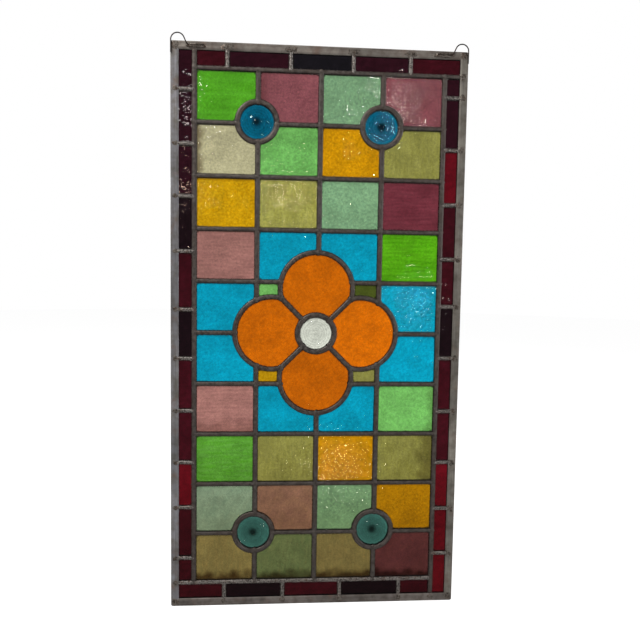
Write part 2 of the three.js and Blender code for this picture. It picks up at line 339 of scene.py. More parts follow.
class Nodes:
    """A short way to write a material's nodes."""

    def __init__(self, name):
        self.material = bpy.data.materials.new(name)
        self.material.use_nodes = True
        self.tree = self.material.node_tree
        self.shader = self.tree.nodes["Principled BSDF"]
        self.place = self.add("TexCoord", "Object", {})

    def add(self, kind, output, sockets, **settings):
        return new_node(self.tree, kind, output, sockets, **settings)

    def mapped(self, scale, angle=0.0):
        """The place, turned in the plane of the panel and scaled in each direction."""
        turned = self.add("Mapping", "Vector", {"Rotation": (0, angle, 0), "Vector": self.place})
        return self.add("Mapping", "Vector", {"Scale": scale, "Vector": turned})

    def noise(self, vector, detail, roughness=0.55, distortion=0.0):
        sockets = {"Scale": 1.0, "Detail": detail, "Roughness": roughness, "Distortion": distortion}
        return self.add("TexNoise", "Fac", {**sockets, "Vector": vector})

    def speckle(self, size, detail, **how):
        """Noise with a grain of this size, alike in every direction."""
        return self.noise(self.mapped((1 / size,) * 3), detail, **how)

    def attribute(self, name):
        return self.add("Attribute", "Fac", {}, attribute_name=name)

    def ranged(self, value, low, high, to_low=0.0, to_high=1.0):
        sockets = {"From Min": low, "From Max": high, "To Min": to_low, "To Max": to_high}
        return self.add("MapRange", "Result", {**sockets, "Value": value}, interpolation_type="SMOOTHSTEP")

    def maths(self, operation, first, second=0.0):
        return self.add("Math", "Value", {0: first, 1: second}, operation=operation)

    def mix(self, share, first, second, blend="MIX"):
        sockets = {0: share, 6: first, 7: second}
        return self.add("Mix", 2, sockets, data_type="RGBA", blend_type=blend)

    def bump(self, height, distance, normal=None):
        sockets = {"Distance": distance, "Strength": 1.0, "Height": height}
        if normal is not None:
            sockets["Normal"] = normal
        return self.add("Bump", "Normal", sockets)

    def along(self, axis):
        return self.add("SeparateXYZ", axis, {"Vector": self.place})

    def depth(self):
        """How far the place is from the panel's middle plane."""
        return self.maths("ABSOLUTE", self.maths("SUBTRACT", self.along("Y"), MID_Y))

    def finish(self, colour, roughness, normal, metallic=0.0):
        made = {"Base Color": colour, "Roughness": roughness, "Normal": normal}
        for socket, output in made.items():
            self.tree.links.new(output, self.shader.inputs[socket])
        self.shader.inputs["Metallic"].default_value = metallic
        return self.material


# ---- glass sheets ---------------------------------------------------------------------------------

# How a sheet was made: the length and width of its ripples and their height in millimetres, how far
# the colour swings between the sheet's two tones, and the height of its finest grain.
TEXTURES = {
    "hammered": {"cells": (3.6, 3.2), "height": 0.19, "angle": 0.3, "swing": 0.7, "grain": 0.05},
    "cathedral": {"cells": (6.0, 4.2), "height": 0.17, "angle": 0.5, "swing": 0.45, "grain": 0.08},
    "granite": {"cells": (2.8, 2.4), "height": 0.14, "angle": 0.0, "swing": 0.6, "grain": 0.10},
    "reamy": {"cells": (24, 2.8), "height": 0.13, "angle": 0.03, "swing": 0.7, "grain": 0.06},
    "combed": {"cells": (60, 5.2), "height": 0.20, "angle": 0.0, "swing": 0.4, "grain": 0.04},
    "drawn": {"cells": (2.8, 14), "height": 0.13, "angle": 0.0, "swing": 0.5, "grain": 0.07},
    "wavy": {"cells": (16, 9), "height": 0.22, "angle": 0.9, "swing": 0.6, "grain": 0.08},
    "flashed": {"cells": (8, 5), "height": 0.16, "angle": 0.4, "swing": 0.6, "grain": 0.05},
    "spun": {"cells": (5, 5), "height": 0.12, "angle": 0.0, "swing": 0.3, "grain": 0.08},
}

# The textures whose waves all run one way.
RULED = ("combed", "reamy", "drawn")

# Each sheet: its main tone, the tone it drifts to, and its texture.
SHEETS = {
    "grass": ("#4f9f1e", "#60b034", "combed"),
    "mauve": ("#824850", "#965a5c", "granite"),
    "seafoam": ("#709872", "#88b082", "hammered"),
    "straw": ("#b3ae86", "#c6c09c", "granite"),
    "leaf": ("#6aae56", "#80c46c", "cathedral"),
    "amber": ("#c88a00", "#dca008", "hammered"),
    "olive": ("#8a8840", "#9c9a58", "drawn"),
    "golden": ("#c89400", "#dcae14", "hammered"),
    "plum": ("#682a34", "#7c3a44", "reamy"),
    "pink": ("#986862", "#ac7a70", "reamy"),
    "turquoise": ("#0094b4", "#06aac4", "cathedral"),
    "lime": ("#4ea00a", "#66b61c", "reamy"),
    "moss": ("#48541a", "#566224", "cathedral"),
    "fern": ("#549c28", "#68a648", "reamy"),
    "celadon": ("#829c84", "#90a48a", "wavy"),
    "umber": ("#8c6656", "#967258", "wavy"),
    "khaki": ("#8a8050", "#988450", "drawn"),
    "lichen": ("#66784e", "#7a8056", "drawn"),
    "bistre": ("#5e3236", "#6a3a3a", "wavy"),
    "orange": ("#c86200", "#d47008", "cathedral"),
    "clear": ("#ced2c4", "#dedfd2", "spun"),
    "teal": ("#00546e", "#006a84", "spun"),
    "ruby": ("#5a0814", "#72101e", "flashed"),
    # Darker flashings of the ruby, and the greyer teal of the lower rondels.
    "wine": ("#34070f", "#47101c", "flashed"),
    "maroon": ("#260812", "#34101c", "flashed"),
    "night": ("#14070c", "#1e0e14", "flashed"),
    "soot": ("#121014", "#1a161c", "flashed"),
    "dull_teal": ("#356462", "#40726e", "spun"),
}

# Brown tint of the bands that reach over some panes from one side.
SIDE_BAND_TINT = "#6b4a22"
# Cement and painted shade where the glass meets the leads.
CEMENT_AND_SHADE_TINT = "#1c1713"
# Painted shade: the glass darkens and browns towards the panel's bottom, standing for the dimmer light that came
# through it there.
LOW_SHADE_TINT = (0.60, 0.56, 0.47, 1)
LOW_SHADE_TOP, LOW_SHADE_BOTTOM = CENTRE.z - 0.09, CENTRE.z - 0.27


def glass_material(name, main, second, texture):
    """See-through glass whose colour swings with its thickness, dark along the leads with cement and painted
    shade, and darker and browner low on the panel as painted shade.
    """
    nodes = Nodes(name)
    how = TEXTURES[texture]
    scale = (1 / (how["cells"][0] * MM), 1 / (4 * MM), 1 / (how["cells"][1] * MM))
    place = nodes.mapped(scale, how["angle"])
    drift = nodes.ranged(nodes.noise(place, 2.0), 0.3, 0.7, 0.0, how["swing"])
    colour = nodes.mix(drift, linear(main), linear(second))
    cloud = nodes.speckle(26 * MM, 2.0)
    shade = nodes.ranged(cloud, 0.3, 0.7, 0.86, 1.06)
    grain = nodes.speckle(2.4 * MM, 1.0)
    grained = nodes.ranged(grain, 0.32, 0.68, 0.84, 1.12)
    # The tone attribute carries the glass's thickness and, on the flat panes, a painted shadow along their top
    # edges.
    tone = nodes.maths("MULTIPLY", nodes.maths("MULTIPLY", shade, grained), nodes.attribute("tone"))
    colour = nodes.mix(1.0, colour, tone, blend="MULTIPLY")
    # Painted shade, darker and browner towards the panel's bottom.
    low = nodes.ranged(nodes.along("Z"), LOW_SHADE_BOTTOM, LOW_SHADE_TOP, 1.0, 0.0)
    colour = nodes.mix(low, colour, LOW_SHADE_TINT, blend="MULTIPLY")
    colour = nodes.mix(nodes.attribute("side_band"), colour, linear(SIDE_BAND_TINT), blend="MULTIPLY")
    # Cement and painted shade: the glass goes near black close to the leads, over a reach that wanders.
    cement_and_shade_noise = nodes.speckle(1.8 * MM, 4.0)
    reach = nodes.maths("ADD", nodes.attribute("rim"), nodes.ranged(cement_and_shade_noise, 0.3, 0.7, -0.5, 0.5))
    cement_and_shade = nodes.ranged(reach, 0.1, 1.6, 0.9, 0.0)
    colour = nodes.mix(cement_and_shade, colour, linear(CEMENT_AND_SHADE_TINT))
    nodes.shader.inputs["Transmission Weight"].default_value = 1.0
    nodes.shader.inputs["IOR"].default_value = 1.5
    rough = nodes.ranged(cement_and_shade, 0.0, 0.9, 0.03, 0.5)
    return nodes.finish(colour, rough, nodes.bump(grain, how["grain"] * MM))


GLASS = {sheet: glass_material(f"glass_{sheet}", *tones) for sheet, tones in SHEETS.items()}

# ---- metals ---------------------------------------------------------------------------------------


def came_material():
    """Oxidised lead: near black at its foot, where the cement lies and painted shade falls, and lighter on its
    crown, partly rubbed wear and partly a painted highlight.
    """
    nodes = Nodes("came_lead")
    # Painted highlight and shade: each leaf is lighter on its crown and darker at its foot, broken by a mottle
    # of wear.
    crown = nodes.ranged(nodes.depth(), CHANNEL + 0.2 * MM, HALF_LEAD_DEPTH)
    mottle = nodes.speckle(3 * MM, 5.0)
    worn = nodes.maths("MULTIPLY", crown, nodes.ranged(mottle, 0.25, 0.75, 0.35, 1.0))
    colour = nodes.mix(worn, linear("#211c1a"), linear("#5f5853"))
    warm = nodes.speckle(22 * MM, 3.0)
    colour = nodes.mix(nodes.ranged(warm, 0.4, 0.7, 0.0, 0.5), colour, linear("#463a33"))
    rough = nodes.ranged(mottle, 0.3, 0.7, 0.36, 0.6)
    fine = nodes.bump(nodes.speckle(0.9 * MM, 4.0), 0.12 * MM)
    return nodes.finish(colour, rough, fine, 0.6)


def solder_material(name, dark, light):
    """Tinned solder, bright on its lumps and grey between them."""
    nodes = Nodes(name)
    mottle = nodes.speckle(1.7 * MM, 4.0, distortion=0.6)
    colour = nodes.mix(nodes.ranged(mottle, 0.38, 0.7), linear(dark), linear(light))
    rust = nodes.speckle(6 * MM, 3.0)
    colour = nodes.mix(nodes.ranged(rust, 0.5, 0.75, 0.0, 0.6), colour, linear("#5a4030"))
    rough = nodes.ranged(mottle, 0.3, 0.7, 0.5, 0.22)
    return nodes.finish(colour, rough, nodes.bump(mottle, 0.35 * MM), 0.6)


def frame_material(name, light, dark, lengthways):
    """Flat rolled lead, streaked along its length and tarnished in patches."""
    nodes = Nodes(name)
    along, across = 1 / (40 * MM), 1 / (0.8 * MM)
    scale = (across, across, along) if lengthways == "z" else (along, across, across)
    streak = nodes.noise(nodes.mapped(scale), 3.0)
    patch = nodes.speckle(14 * MM, 5.0, roughness=0.6)
    colour = nodes.mix(nodes.ranged(patch, 0.35, 0.7), linear(light), linear(dark))
    colour = nodes.mix(nodes.ranged(streak, 0.3, 0.7, 0.0, 0.4), colour, linear("#3c3834"))
    broad = nodes.speckle(70 * MM, 2.0)
    colour = nodes.mix(1.0, colour, nodes.ranged(broad, 0.3, 0.7, 0.72, 1.25), blend="MULTIPLY")
    warm = nodes.speckle(19 * MM, 4.0)
    colour = nodes.mix(nodes.ranged(warm, 0.55, 0.75, 0.0, 0.55), colour, linear("#6a5346"))
    # Cement and painted shade: the frame darkens down its sloping lip and inner edge towards the glass.
    foot = nodes.ranged(nodes.depth(), CHANNEL, HALF_FRAME_DEPTH - FRAME_LIP_DROP * 0.6, 0.55, 0.0)
    colour = nodes.mix(foot, colour, linear("#26221f"))
    rough = nodes.ranged(patch, 0.3, 0.7, 0.42, 0.62)
    worn = nodes.bump(streak, 0.06 * MM, normal=nodes.bump(patch, 0.25 * MM))
    return nodes.finish(colour, rough, worn, 0.45)


def wire_material():
    nodes = Nodes("loop_wire")
    mottle = nodes.speckle(2 * MM, 4.0)
    colour = nodes.mix(mottle, linear("#1e1816"), linear("#463c38"))
    rough = nodes.ranged(mottle, 0.3, 0.7, 0.3, 0.5)
    return nodes.finish(colour, rough, nodes.bump(mottle, 0.08 * MM), 0.9)


CAME = came_material()
# The solder finish also stands on the bottom lead, as a painted highlight there.
SOLDER_AND_HIGHLIGHT = solder_material("solder", "#2e2826", "#b4ada6")
SPILT = solder_material("spilt_solder", "#3a322c", "#8f877f")
WIRE = wire_material()

# ---- panes ----------------------------------------------------------------------------------------

GRID = 1.3 * MM
BACK_GRID = 4 * MM
OUTLINE_STEP = 2 * MM
LEAST_STEP = 0.3 * MM
BACK_WAVE = 0.08 * MM


def straight(start, end):
    """Points from start up to, not including, end, a step apart."""
    count = max(1, round(math.dist(start, end) / OUTLINE_STEP))
    return [
        (start[0] + (end[0] - start[0]) * i / count, start[1] + (end[1] - start[1]) * i / count)
        for i in range(count)
    ]


def rectangle(left, right, bottom, top):
    corners = [(left, bottom), (right, bottom), (right, top), (left, top)]
    return [p for i in range(4) for p in straight(corners[i], corners[(i + 1) % 4])]


def carve(outline, circle):
    """The outline with what lies inside a circle taken out, following the circle's own arc."""
    cx, cz, radius = circle
    distance = [math.hypot(x - cx, z - cz) - radius for x, z in outline]
    count = len(outline)
    if all(d > 0 for d in distance):
        return outline
    leave = next(i for i in range(count) if distance[i] <= 0 < distance[(i + 1) % count])
    kept = []
    i = (leave + 1) % count
    while distance[i] > 0:
        kept.append(outline[i])
        i = (i + 1) % count

    def on_circle(outside, inside):
        low, high = 0.0, 1.0
        for _ in range(30):
            t = (low + high) / 2
            x = outside[0] + (inside[0] - outside[0]) * t
            z = outside[1] + (inside[1] - outside[1]) * t
            low, high = (t, high) if math.hypot(x - cx, z - cz) > radius else (low, t)
        return x, z

    entry = on_circle(kept[-1], outline[i])
    exit_ = on_circle(outline[(leave + 1) % count], outline[leave])
    first = math.atan2(entry[1] - cz, entry[0] - cx)
    last = math.atan2(exit_[1] - cz, exit_[0] - cx)
    turn = (last - first) % (2 * math.pi)
    if turn > math.pi:
        turn -= 2 * math.pi
    steps = max(2, round(abs(turn) * radius / OUTLINE_STEP))
    merged = kept + arc(cx, cz, radius, [first + turn * k / steps for k in range(steps + 1)])
    return [p for k, p in enumerate(merged) if math.dist(p, merged[k - 1]) > LEAST_STEP]


def edge_distance(points, outline):
    """How far each point is from the outline, and whether it is inside."""
    a = np.array(outline)
    b = np.roll(a, -1, axis=0)
    p = points[:, None, :]
    ab = b - a
    t = np.clip(((p - a) * ab).sum(2) / (ab * ab).sum(1), 0, 1)
    near = a + t[..., None] * ab
    distance = np.sqrt(((p - near) ** 2).sum(2)).min(1)
    over = (a[:, 1] > p[..., 1]) != (b[:, 1] > p[..., 1])
    with np.errstate(divide="ignore", invalid="ignore"):
        cross = (b[:, 0] - a[:, 0]) * (p[..., 1] - a[:, 1]) / (b[:, 1] - a[:, 1]) + a[:, 0]
    inside = (over & (p[..., 0] < cross)).sum(1) % 2 == 1
    return distance, inside


def filled(outline, step, seed):
    """A triangulation of the outline with points inside it about a step apart."""
    edge = np.array(outline)
    low, high = edge.min(0), edge.max(0)
    xs = np.arange(low[0] + step / 2, high[0], step)
    zs = np.arange(low[1] + step / 2, high[1], step * 0.87)
    grid = np.array([(x + (step / 2 if k % 2 else 0), z) for k, z in enumerate(zs) for x in xs])
    grid = grid + np.random.default_rng(seed).uniform(-0.12, 0.12, grid.shape) * step
    distance, inside = edge_distance(grid, outline)
    points = np.vstack([edge, grid[inside & (distance > step * 0.55)]])
    vectors = [Vector(p) for p in points]
    loop = [list(range(len(outline)))]
    made = delaunay_2d_cdt(vectors, [], loop, 1, 1e-7)
    return np.array([tuple(v) for v in made[0]]), [tuple(f) for f in made[2]]


def relief_of(texture, x, z, seed):
    """Height of a sheet's rolled face, in metres, from 0 to about twice its texture's height."""
    how = TEXTURES[texture]
    along, across = how["cells"][0] * MM, how["cells"][1] * MM
    height = how["height"] * MM
    broad = ripple(x, z, along, across, seed, how["angle"])
    skew = 0.0 if texture in RULED else 0.4
    fine = ripple(x, z, along * 0.55, across * 0.55, seed + 1, how["angle"] + skew)
    slow = ripple(x, z, 28 * MM, 19 * MM, seed + 2)
    return height * np.clip(1 + 0.6 * broad + 0.3 * fine + 0.5 * slow, 0, 2.2)


def side_band_of(side_band, x, z, box, seed):
    """How strongly a brown band reaches over the glass from one of its sides, 0 to 1."""
    if side_band is None:
        return np.zeros(len(x))
    side, reach, strength = side_band
    left, right, bottom, top = box
    away = {"left": x - left, "right": right - x, "bottom": z - bottom, "top": top - z}[side]
    wander = ripple(x, z, 11 * MM, 11 * MM, seed) * 0.35 + ripple(x, z, 4 * MM, 4 * MM, seed + 1) * 0.12
    return strength * (1 - smooth_step(away / (reach * MM) + wander, 0.25, 1.0))


def add_pane(name, outline, visible_inset, sheet, nodes, side_band=None, seed=0):
    """One flat piece of glass: a rolled face to the front, a smoother one behind."""
    texture = SHEETS[sheet][2]
    front, front_faces = filled(outline, GRID, seed)
    back, back_faces = filled(outline, BACK_GRID, seed + 1)
    count = len(outline)
    xs, zs = front[:, 0], front[:, 1]
    distance, _ = edge_distance(front, outline)
    back_distance, _ = edge_distance(back, outline)
    free = smooth_step(distance, visible_inset * 0.4, visible_inset + 0.8 * MM)
    relief = relief_of(texture, xs, zs, seed) * free
    gentle = BACK_WAVE * (1 + ripple(back[:, 0], back[:, 1], 12 * MM, 12 * MM, seed + 5))
    back_free = smooth_step(back_distance, 0, visible_inset + 1 * MM)
    front_y = MID_Y - HALF_GLASS + relief
    back_y = MID_Y + HALF_GLASS - gentle * back_free
    vertices = [(x, y, z) for (x, z), y in zip(front, front_y)]
    vertices += [(x, y, z) for (x, z), y in zip(back, back_y)]
    start = len(front)
    faces = list(front_faces)
    faces += flipped(tuple(start + i for i in face) for face in back_faces)
    faces += rim_faces(0, start, count)
    piece = add_piece(name, vertices, faces, GLASS[sheet], nodes)
    box = (xs.min(), xs.max(), zs.min(), zs.max())
    every_x = np.concatenate([xs, back[:, 0]])
    every_z = np.concatenate([zs, back[:, 1]])
    rim = (np.concatenate([distance, back_distance]) - visible_inset) / MM
    set_attribute(piece, "rim", rim)
    set_attribute(piece, "side_band", side_band_of(side_band, every_x, every_z, box, seed + 9))
    hollow = relief / (TEXTURES[texture]["height"] * MM)
    own = PIECE_TONES.get(name, 1.0)
    # Painted shadow: each pane darkens along its top edge, under the lead above it.
    shadow = 0.72 + 0.28 * smooth_step(box[3] - every_z, visible_inset, visible_inset + 4 * MM)
    tone = own * shadow * np.concatenate([1.0 + 0.32 * (hollow - 1), np.full(len(back), 1.0)])
    set_attribute(piece, "tone", tone)
    return piece


# Pieces cut from a paler or a deeper part of their sheet, or of thinner or thicker glass.
PIECE_TONES = {
    "pane_row1_column4": 0.90,
    "pane_row3_column2": 1.27,
    "pane_row3_column3": 1.12,
    "pane_row5_column4": 1.10,
    "small_pane_lower_left": 0.72,
    "small_pane_lower_right": 0.85,
    "pane_row6_column4": 1.12,
    "pane_row7_column2": 0.88,
    "pane_row7_column3": 0.88,
    "pane_row8_column1": 0.90,
    "pane_row8_column2": 0.90,
    "pane_row8_column3": 0.82,
    "pane_row8_column4": 0.84,
    "pane_row9_column4": 0.74,
    "pane_row10_column3": 0.86,
    "petal_right": 1.17,
    "petal_bottom": 0.84,
}

# A brown band reaching over a pane: from which side, how far in millimetres, how much.
SIDE_BANDS = {
    "pane_row1_column2": ("left", 14, 0.35),
    "pane_row2_column1": ("left", 12, 0.7),
    "pane_row3_column1": ("top", 6, 0.45),
    "pane_row7_column1": ("bottom", 20, 0.35),
    "pane_row7_column4": ("right", 14, 0.35),
    "pane_row8_column4": ("right", 28, 0.5),
}
BOTTOM_BAND = ("bottom", 15, 0.9)

ROUND_CUTS = [CENTRE_RING] + list(PETAL_RINGS.values()) + list(CORNER_RINGS.values())


def add_quarries():
    for row in range(1, ROWS + 1):
        for column in range(1, COLUMNS + 1):
            node = quarry_node(row, column)
            outline = rectangle(
                COLUMN_X[column - 1] + GLASS_INSET,
                COLUMN_X[column] - GLASS_INSET,
                ROW_Z[row] + GLASS_INSET,
                ROW_Z[row - 1] - GLASS_INSET,
            )
            for x, z, radius in ROUND_CUTS:
                outline = carve(outline, (x, z, radius + GLASS_INSET))
            slot = SLOT_OF[node]
            sheet = slot.removeprefix("glass_")
            side_band = BOTTOM_BAND if row == ROWS else SIDE_BANDS.get(node)
            inset = LEVEL_LEAD / 2 - GLASS_INSET
            add_pane(node, outline, inset, sheet, [node], side_band, seed=100 * row + 10 * column)


def add_petals():
    cx, cz, centre_radius = CENTRE_RING
    tip = GLASS_INSET * math.sqrt(2)
    for number, side in enumerate(PETALS):
        x, z, radius = PETAL_RINGS[side]
        radius -= GLASS_INSET
        angle = math.atan2(z - cz, x - cx)
        offset = math.hypot(x - cx, z - cz)
        # In the petal's own direction: where its rim crosses the diagonal leads beside it.
        reach = offset - tip
        crossing = (reach + math.sqrt(2 * radius * radius - reach * reach)) / 2
        end = (crossing + tip, crossing)
        start_angle = math.atan2(end[1], end[0] - offset)
        inner = centre_radius + GLASS_INSET
        inward = (-tip + math.sqrt(2 * inner * inner - tip * tip)) / 2
        inner_end = (inward + tip, inward)
        sweep_steps = round(2 * start_angle * radius / OUTLINE_STEP)
        local = arc(offset, 0, radius, np.linspace(-start_angle, start_angle, sweep_steps + 1))
        local += straight(end, inner_end)[1:]
        inner_angle = math.atan2(inner_end[1], inner_end[0])
        inner_steps = round(2 * inner_angle * inner / OUTLINE_STEP)
        local += arc(0, 0, inner, np.linspace(inner_angle, -inner_angle, inner_steps + 1))
        local += straight((inner_end[0], -inner_end[1]), (end[0], -end[1]))[1:]
        turn = [
            (cx + u * math.cos(angle) - v * math.sin(angle), cz + u * math.sin(angle) + v * math.cos(angle))
            for u, v in local
        ]
        node = f"petal_{side}"
        inset = PETAL_LEAD / 2 - GLASS_INSET
        add_pane(node, turn, inset, "orange", [node], seed=2000 + 10 * number)


def add_border():
    """The border's ruby strips, each cut into pieces between its cross-leads."""
    low_x, high_x = COLUMN_X[0], COLUMN_X[-1]
    low_z, high_z = ROW_Z[-1], ROW_Z[0]
    hidden = FRAME_WEB + CLEARANCE
    bounds = {
        "left": (-HALF_WIDTH + hidden, low_x - GLASS_INSET, low_z + GLASS_INSET, TOP_Z - hidden),
        "top": (low_x + GLASS_INSET, HALF_WIDTH - hidden, high_z + GLASS_INSET, TOP_Z - hidden),
        "right": (high_x + GLASS_INSET, HALF_WIDTH - hidden, BOTTOM_Z + hidden, high_z - GLASS_INSET),
        "bottom": (-HALF_WIDTH + hidden, high_x - GLASS_INSET, BOTTOM_Z + hidden, low_z - GLASS_INSET),
    }
    for side, (left, right, bottom, top) in bounds.items():
        level = side in ("top", "bottom")
        start, end = (left, right) if level else (bottom, top)
        origin = 0 if level else CENTRE.z
        cuts = sorted(origin + at * MM for at in BORDER_CUTS[side])
        ends = [start] + [at for cut in cuts for at in (cut - GLASS_INSET, cut + GLASS_INSET)] + [end]
        for number in range(len(cuts) + 1):
            low, high = ends[2 * number], ends[2 * number + 1]
            box = (low, high, bottom, top) if level else (left, right, low, high)
            name = f"border_{side}_{number + 1}"
            node = f"border_glass_{side}"
            inset = CROSS_LEAD / 2 - GLASS_INSET
            depth = BORDER_DEPTHS[side].split()[number]
            seed = 3000 + 40 * SIDES.index(side) + number
            add_pane(name, rectangle(*box), inset, depth, [node], seed=seed)


# ---- rondels --------------------------------------------------------------------------------------

RONDEL_RINGS = 44
RONDEL_TURN = 96


def add_rondel(node, circle, sheet, boss, knob, heart_tone, seed):
    """A spun disc: ripples round a pontil mark, a raised boss, and a rolled rim."""
    cx, cz, lead_radius = circle
    radius = lead_radius - GLASS_INSET
    visible = radius - (RONDEL_LEAD / 2 - GLASS_INSET)
    radii = radius * np.arange(1, RONDEL_RINGS + 1) / RONDEL_RINGS
    r, t = np.meshgrid(radii, full_turn(RONDEL_TURN), indexing="ij")
    x, z = r * np.cos(t), r * np.sin(t)
    off_x, off_z = x + 0.7 * MM, z - 0.5 * MM
    spun = np.hypot(off_x, off_z) + 0.35 * MM * ripple(x, z, 6 * MM, 6 * MM, seed)
    free = 1 - smooth_step(r, visible - 1.5 * MM, visible)

    def rise(d):
        rings = 0.09 * MM * np.sin(2 * math.pi * d / (1.9 * MM))
        raised = boss * (1 - smooth_step(d, 6.5 * MM, 10.5 * MM))
        pontil = knob * (1 - smooth_step(d, 1.2 * MM, 3.0 * MM)) - 0.6 * knob * (1 - smooth_step(d, 0, 1.1 * MM))
        rough = 0.16 * MM * ripple(x, z, 1.7 * MM, 1.7 * MM, seed + 3) * (1 - smooth_step(d, 3 * MM, 8 * MM))
        return rings + raised + pontil + rough

    front = -HALF_GLASS + 0.35 * MM - rise(spun) * free - 0.35 * MM * (1 - free)
    back = HALF_GLASS - (0.25 * MM + 0.08 * MM * np.sin(2 * math.pi * spun / (2.6 * MM))) * free
    vertices = [(cx, MID_Y + front[0].mean(), cz)]
    vertices += [(cx + px, MID_Y + y, cz + pz) for px, y, pz in zip(x.flat, front.flat, z.flat)]
    second = len(vertices)
    vertices += [(cx, MID_Y + back[0].mean(), cz)]
    vertices += [(cx + px, MID_Y + y, cz + pz) for px, y, pz in zip(x.flat, back.flat, z.flat)]
    faces = disc_faces(0, RONDEL_RINGS, RONDEL_TURN)
    faces += flipped(disc_faces(second, RONDEL_RINGS, RONDEL_TURN))
    last = second - RONDEL_TURN
    faces += rim_faces(last, second + last, RONDEL_TURN)
    piece = add_piece(node, vertices, faces, GLASS[sheet], [node])
    rim = np.concatenate([[visible], (visible - r).ravel()]) / MM
    rings = 1 + 0.10 * np.sin(2 * math.pi * spun / (3.1 * MM)) * smooth_step(spun, 5 * MM, 9 * MM)
    pontil = heart_tone + (1 - heart_tone) * smooth_step(spun, 1.5 * MM, 9 * MM)
    pale_rim = 1 + 0.45 * (1 - heart_tone) * smooth_step(spun, 12 * MM, visible)
    mottle = 1 + 0.12 * ripple(x, z, 2.4 * MM, 2.4 * MM, seed + 6)
    tone = rings * pontil * pale_rim * mottle
    tone = np.concatenate([[tone[0].mean()], tone.ravel()])
    set_attribute(piece, "rim", np.concatenate([rim, rim]))
    set_attribute(piece, "side_band", np.zeros(2 * len(rim)))
    set_attribute(piece, "tone", np.concatenate([tone, tone]))


def add_rondels():
    add_rondel("rondel_centre", CENTRE_RING, "clear", 0.35 * MM, 0.7 * MM, 0.9, seed=4000)
    for number, corner in enumerate(CORNERS):
        sheet = "teal" if corner.startswith("upper") else "dull_teal"
        circle = CORNER_RINGS[corner]
        add_rondel(f"rondel_{corner}", circle, sheet, 1.1 * MM, 0.8 * MM, 0.12, seed=4100 + 10 * number)


# ---- leads ----------------------------------------------------------------------------------------

LEAF_EDGE = 0.4 * MM
ARCH = 7  # points over each leaf
LEAD_STEP = 5 * MM
INTO_FRAME = 0.5 * MM


def came_section(width):
    """The section of an H lead: (across, deep) points, both leaves domed."""
    half, heart = width / 2, HEART / 2
    crown = HALF_LEAD_DEPTH - CHANNEL - LEAF_EDGE
    turns = np.linspace(0, math.pi, ARCH)
    arch = [(half * math.cos(a), CHANNEL + LEAF_EDGE + crown * math.sin(a)) for a in turns]
    leaf = [(heart, CHANNEL), (half, CHANNEL)] + arch + [(-half, CHANNEL), (-heart, CHANNEL)]
    return leaf + [(-s, -d) for s, d in leaf]


def unit(vectors):
    return vectors / np.linalg.norm(vectors, axis=1)[:, None]


def sweep(section, path, swell, closed=False):
    """A closed shell: the section carried along a path of (x, z) in the panel's plane."""
    points = np.array(path)
    ahead = np.roll(points, -1, axis=0) - points
    behind = points - np.roll(points, 1, axis=0)
    if not closed:
        ahead[-1], behind[0] = behind[-1], ahead[0]
    along = unit(unit(ahead) + unit(behind))
    left = np.stack([-along[:, 1], along[:, 0]], axis=1)
    vertices = []
    for i, point in enumerate(points):
        for k, (across, deep) in enumerate(section):
            s, d = swell(i, k, across, deep)
            vertices.append((point[0] + left[i][0] * s, MID_Y - d, point[1] + left[i][1] * s))
    return vertices, tube_faces(len(section), len(points), closed)


def run_path(start, end, step):
    count = max(2, round(math.dist(start, end) / step))
    start, end = np.array(start), np.array(end)
    return [tuple(start + (end - start) * i / count) for i in range(count + 1)]


def free_runs(fixed, low, high, axis):
    """The stretches of a straight lead that no round pane interrupts."""
    runs = [(low, high)]
    for x, z, radius in ROUND_CUTS:
        across, along = (x, z) if axis == "z" else (z, x)
        reach = radius * radius - (fixed - across) ** 2
        if reach <= 0:
            continue
        chord = math.sqrt(reach)
        cut_low, cut_high = along - chord, along + chord
        pieces = []
        for a, b in runs:
            if cut_high <= a or cut_low >= b:
                pieces.append((a, b))
                continue
            if a < cut_low:
                pieces.append((a, cut_low))
            if cut_high < b:
                pieces.append((cut_high, b))
        runs = pieces
    return runs


def uneven(seed, amount):
    """A hand-worked lead: its width and height wander a little along its length."""
    rng = np.random.default_rng(seed)
    widths = rng.normal(1, amount, 4096)
    heights = rng.normal(1, amount * 0.6, 4096)
    smooth = np.ones(3) / 3
    widths, heights = np.convolve(widths, smooth, "same"), np.convolve(heights, smooth, "same")

    def swell(i, k, across, deep):
        top = math.copysign(max(0.0, abs(deep) - CHANNEL) * min(heights[i], 1.08), deep)
        kept = math.copysign(min(abs(deep), CHANNEL), deep)
        return across * (widths[i] if abs(across) > HEART else 1), kept + top

    return swell


def add_straight_leads(shells):
    outer_top, outer_bottom = CENTRE.z + INNER_Z + INTO_FRAME, CENTRE.z - INNER_Z - INTO_FRAME
    outer_x = INNER_X + INTO_FRAME
    seed = 5000
    for i, x in enumerate(COLUMN_X):
        low = outer_bottom if i == COLUMNS else ROW_Z[-1]
        high = outer_top if i == 0 else ROW_Z[0]
        for a, b in free_runs(x, low, high, "z"):
            seed += 1
            path = run_path((x, a), (x, b), LEAD_STEP)
            shells["upright"].add(*sweep(came_section(UPRIGHT_LEAD), path, uneven(seed, 0.025)))
    for j, z in enumerate(ROW_Z):
        low = -outer_x if j == ROWS else COLUMN_X[0]
        high = outer_x if j == 0 else COLUMN_X[-1]
        for a, b in free_runs(z, low, high, "x"):
            seed += 1
            path = run_path((a, z), (b, z), LEAD_STEP)
            made = sweep(came_section(LEVEL_LEAD), path, uneven(seed, 0.03))
            # The bottom lead takes the solder finish as a painted highlight.
            shells["level"].add(*made, kind=int(j == ROWS))


